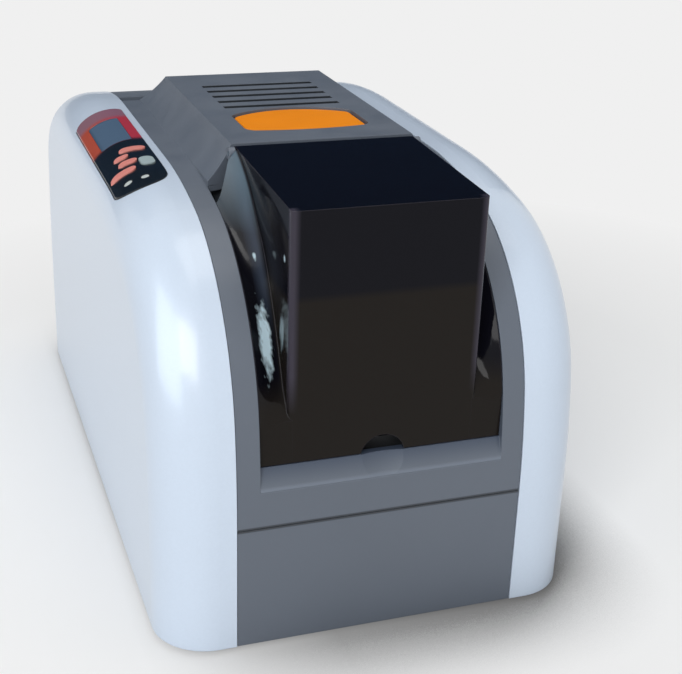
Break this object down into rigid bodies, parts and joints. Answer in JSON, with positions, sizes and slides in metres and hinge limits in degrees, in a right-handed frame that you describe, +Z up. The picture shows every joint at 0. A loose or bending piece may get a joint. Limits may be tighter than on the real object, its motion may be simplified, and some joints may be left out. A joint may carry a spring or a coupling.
{
  "type": "id card printer",
  "caption": "Desktop card printer with rounded side shells, lift-up lid with hood, smoked card hopper cover, release button and keypad.",
  "frame": {"origin": "middle of the foot print, on the surface it stands on", "axes": "+Z up, -Y out of the front with the card hopper, +X to the right seen from the front"},
  "size_m": [0.204, 0.376, 0.2092],
  "materials": {
    "shell_white": "smooth white moulded plastic",
    "frame_grey": "fine textured grey moulded plastic",
    "smoked_cover": "polished smoked plastic",
    "button_orange": "satin orange plastic",
    "panel_black": "glossy printed panel",
    "panel_glass": "display window",
    "key_salmon": "soft touch key",
    "key_pale": "soft touch key",
    "lamp_clear": "frosted lamp lens",
    "rubber_black": "dull rubber",
    "roller_rubber": "ground rubber",
    "cleaner_blue": "tacky silicone",
    "steel": "ground steel",
    "zinc_sheet": "zinc plated sheet",
    "aluminium_fin": "bead blasted",
    "head_ceramic": "glazed ceramic",
    "black_plastic": "moulded plastic",
    "dark_grey_plastic": "moulded plastic",
    "grey_plastic": "moulded plastic",
    "film_colour": "wound dye film",
    "film_dark": "wound dye film",
    "circuit_green": "soldermasked board",
    "nylon_white": "natural nylon"
  },
  "bodies": {
    "chassis": {"base_tray": "dark_grey_plastic", "case_screws": "steel", "control_board": "circuit_green", "cross_rods": "steel", "data_ports": "zinc_sheet", "drive_belts": "rubber_black", "fan_frame": "black_plastic", "hopper_bin": "dark_grey_plastic", "latch_strikers": "steel", "lcd_window": "panel_glass", "left_shell": "shell_white", "left_side_plate": "zinc_sheet", "lid_hinge_pins": "steel", "lower_front_panel": "frame_grey", "main_motor": "black_plastic", "output_tray": "dark_grey_plastic", "panel_bezel": "panel_black", "power_inlet": "black_plastic", "power_supply": "zinc_sheet", "rear_bulkhead": "zinc_sheet", "rear_panel": "frame_grey", "ribbon_cassette": "grey_plastic", "ribbon_film": "film_colour", "right_shell": "shell_white", "right_side_plate": "zinc_sheet", "roller_bushings": "nylon_white", "rubber_feet": "rubber_black", "status_lamps": "lamp_clear", "switch_frame": "black_plastic"},
    "lid": {"top_cover": "frame_grey"},
    "cover": {"hopper_cover": "smoked_cover"},
    "button": {"release_button": "button_orange"},
    "latch": {"latch_bar": "nylon_white"},
    "weight": {"card_weight": "grey_plastic"},
    "pick": {"pick_roller": "roller_rubber", "pick_shaft": "steel"},
    "feed": {"feed_roller": "roller_rubber", "feed_shaft": "steel"},
    "platen": {"platen_roller": "roller_rubber", "platen_shaft": "steel"},
    "transport": {"transport_roller": "roller_rubber", "transport_shaft": "steel"},
    "front_pinch": {"front_pinch_roller": "nylon_white"},
    "cleaner": {"cleaning_roller": "cleaner_blue"},
    "rear_pinch": {"rear_pinch_roller": "nylon_white"},
    "motor_shaft": {"motor_pulley": "steel"},
    "supply": {"supply_spool": "nylon_white", "supply_film": "film_colour"},
    "takeup": {"takeup_spool": "nylon_white", "takeup_film": "film_dark"},
    "head": {"head_arm": "zinc_sheet", "head_heat_sink": "aluminium_fin", "print_head": "head_ceramic"},
    "fan": {"fan_impeller": "black_plastic"},
    "switch": {"power_switch": "black_plastic"},
    "key_up": {"up_key": "key_salmon"},
    "key_left": {"left_key": "key_salmon"},
    "key_right": {"right_key": "key_salmon"},
    "key_down": {"down_key": "key_salmon"},
    "key_menu": {"menu_key": "key_pale"}
  },
  "joints": [
    {"name": "lid_hinge", "type": "hinge", "parent": "chassis", "child": "lid", "pos_m": [0, 0.078, 0.1899], "axis": [-1, 0, 0], "range_deg": [0, 60]},
    {"name": "cover_hinge", "type": "hinge", "parent": "lid", "child": "cover", "pos_m": [0, -0.0925, 0.2056], "axis": [-1, 0, 0], "range_deg": [0, 90]},
    {"name": "button_press", "type": "slide", "parent": "lid", "child": "button", "axis": [0, 0, -1], "range_m": [0, 0.003], "stiffness_N_per_m": 400, "springref_m": -0.004},
    {"name": "latch_pivot", "type": "hinge", "parent": "lid", "child": "latch", "pos_m": [0, -0.078, 0.18], "axis": [-1, 0, 0], "range_deg": [0, 5.84]},
    {"name": "weight_lift", "type": "slide", "parent": "chassis", "child": "weight", "axis": [0, 0, 1], "range_m": [0, 0.05]},
    {"name": "platen_spin", "type": "hinge", "parent": "chassis", "child": "platen", "pos_m": [0, 0.002, 0.1164], "axis": [1, 0, 0], "continuous": true},
    {"name": "pick_spin", "type": "hinge", "parent": "chassis", "child": "pick", "pos_m": [0, -0.1, 0.1164], "axis": [1, 0, 0], "continuous": true},
    {"name": "feed_spin", "type": "hinge", "parent": "chassis", "child": "feed", "pos_m": [0, -0.068, 0.1164], "axis": [1, 0, 0], "continuous": true},
    {"name": "transport_spin", "type": "hinge", "parent": "chassis", "child": "transport", "pos_m": [0, 0.056, 0.1164], "axis": [1, 0, 0], "continuous": true},
    {"name": "motor_spin", "type": "hinge", "parent": "chassis", "child": "motor_shaft", "pos_m": [0, 0.018, 0.058], "axis": [1, 0, 0], "continuous": true},
    {"name": "front_pinch_spin", "type": "hinge", "parent": "chassis", "child": "front_pinch", "pos_m": [0, -0.068, 0.131], "axis": [1, 0, 0], "continuous": true},
    {"name": "cleaner_spin", "type": "hinge", "parent": "chassis", "child": "cleaner", "pos_m": [0, -0.048, 0.131], "axis": [1, 0, 0], "continuous": true},
    {"name": "rear_pinch_spin", "type": "hinge", "parent": "chassis", "child": "rear_pinch", "pos_m": [0, 0.056, 0.131], "axis": [1, 0, 0], "continuous": true},
    {"name": "supply_spin", "type": "hinge", "parent": "chassis", "child": "supply", "pos_m": [0, 0.038, 0.148], "axis": [1, 0, 0], "continuous": true},
    {"name": "takeup_spin", "type": "hinge", "parent": "chassis", "child": "takeup", "pos_m": [0, -0.032, 0.148], "axis": [1, 0, 0], "continuous": true},
    {"name": "head_lift", "type": "hinge", "parent": "chassis", "child": "head", "pos_m": [0, 0.058, 0.166], "axis": [-1, 0, 0], "range_deg": [0, 6]},
    {"name": "fan_spin", "type": "hinge", "parent": "chassis", "child": "fan", "pos_m": [0, 0.156, 0.108], "axis": [0, 1, 0], "continuous": true},
    {"name": "switch_rock", "type": "hinge", "parent": "chassis", "child": "switch", "pos_m": [-0.008, 0.18134, 0.03], "axis": [1, 0, 0], "range_deg": [0, 14]},
    {"name": "up_press", "type": "slide", "parent": "chassis", "child": "key_up", "axis": [0, 0, -1], "range_m": [0, 0.0008], "stiffness_N_per_m": 600, "springref_m": -0.0006},
    {"name": "left_press", "type": "slide", "parent": "chassis", "child": "key_left", "axis": [0, 0, -1], "range_m": [0, 0.0008], "stiffness_N_per_m": 600, "springref_m": -0.0006},
    {"name": "right_press", "type": "slide", "parent": "chassis", "child": "key_right", "axis": [0, 0, -1], "range_m": [0, 0.0008], "stiffness_N_per_m": 600, "springref_m": -0.0006},
    {"name": "down_press", "type": "slide", "parent": "chassis", "child": "key_down", "axis": [0, 0, -1], "range_m": [0, 0.0008], "stiffness_N_per_m": 600, "springref_m": -0.0006},
    {"name": "menu_press", "type": "slide", "parent": "chassis", "child": "key_menu", "axis": [0, 0, -1], "range_m": [0, 0.0008], "stiffness_N_per_m": 600, "springref_m": -0.0006}
  ],
  "couplings": [
    {"joint": "latch_pivot", "follows": "button_press", "rad_per_m": 32.787},
    {"joint": "pick_spin", "follows": "platen_spin", "ratio": 1},
    {"joint": "feed_spin", "follows": "platen_spin", "ratio": 1},
    {"joint": "transport_spin", "follows": "platen_spin", "ratio": 1},
    {"joint": "motor_spin", "follows": "platen_spin", "ratio": 2}
  ]
}
